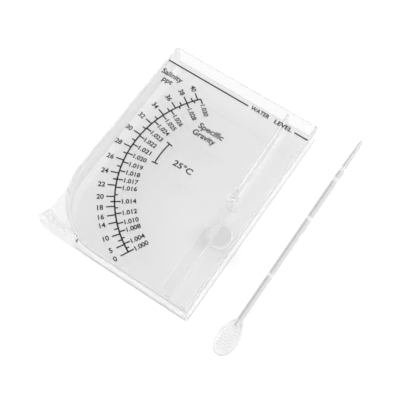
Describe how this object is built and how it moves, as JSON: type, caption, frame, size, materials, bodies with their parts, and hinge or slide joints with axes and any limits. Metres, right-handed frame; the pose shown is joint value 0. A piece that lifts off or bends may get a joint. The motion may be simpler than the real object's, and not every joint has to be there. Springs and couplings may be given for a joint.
{
  "type": "swing-arm hydrometer",
  "caption": "Clear flat case, open at the top, with a weighted arm that swings past a printed salinity and specific gravity scale, and a stirring spoon.",
  "frame": {"origin": "centre of the back of the case, which lies on the table", "axes": "+X to the right across the scale, +Y up the case towards its open top, +Z out of the printed face"},
  "size_m": [0.1337, 0.1611, 0.0172],
  "materials": {
    "clear_case": "clear moulded polystyrene, polished",
    "clear_pin": "clear moulded polystyrene",
    "clear_arm": "clear moulded polystyrene",
    "weight": "grey filled resin, satin",
    "clear_spoon": "clear moulded polystyrene"
  },
  "bodies": {
    "case": {"rear_case": "clear_case", "face_panel": "clear_case", "channel_divider": "clear_case", "pivot_pin": "clear_pin"},
    "arm": {"swing_arm": "clear_arm", "arm_weight": "weight"},
    "spoon": {"stirring_spoon": "clear_spoon"}
  },
  "joints": [
    {"name": "arm_swing", "type": "hinge", "parent": "case", "child": "arm", "pos_m": [0.03466, 0.00249, 0.0086], "axis": [0, 0, -1], "range_deg": [-4, 128]},
    {"name": "spoon_lift", "type": "slide", "parent": "case", "child": "spoon", "axis": [0, 0, 1], "range_m": [0, 0.06]}
  ]
}
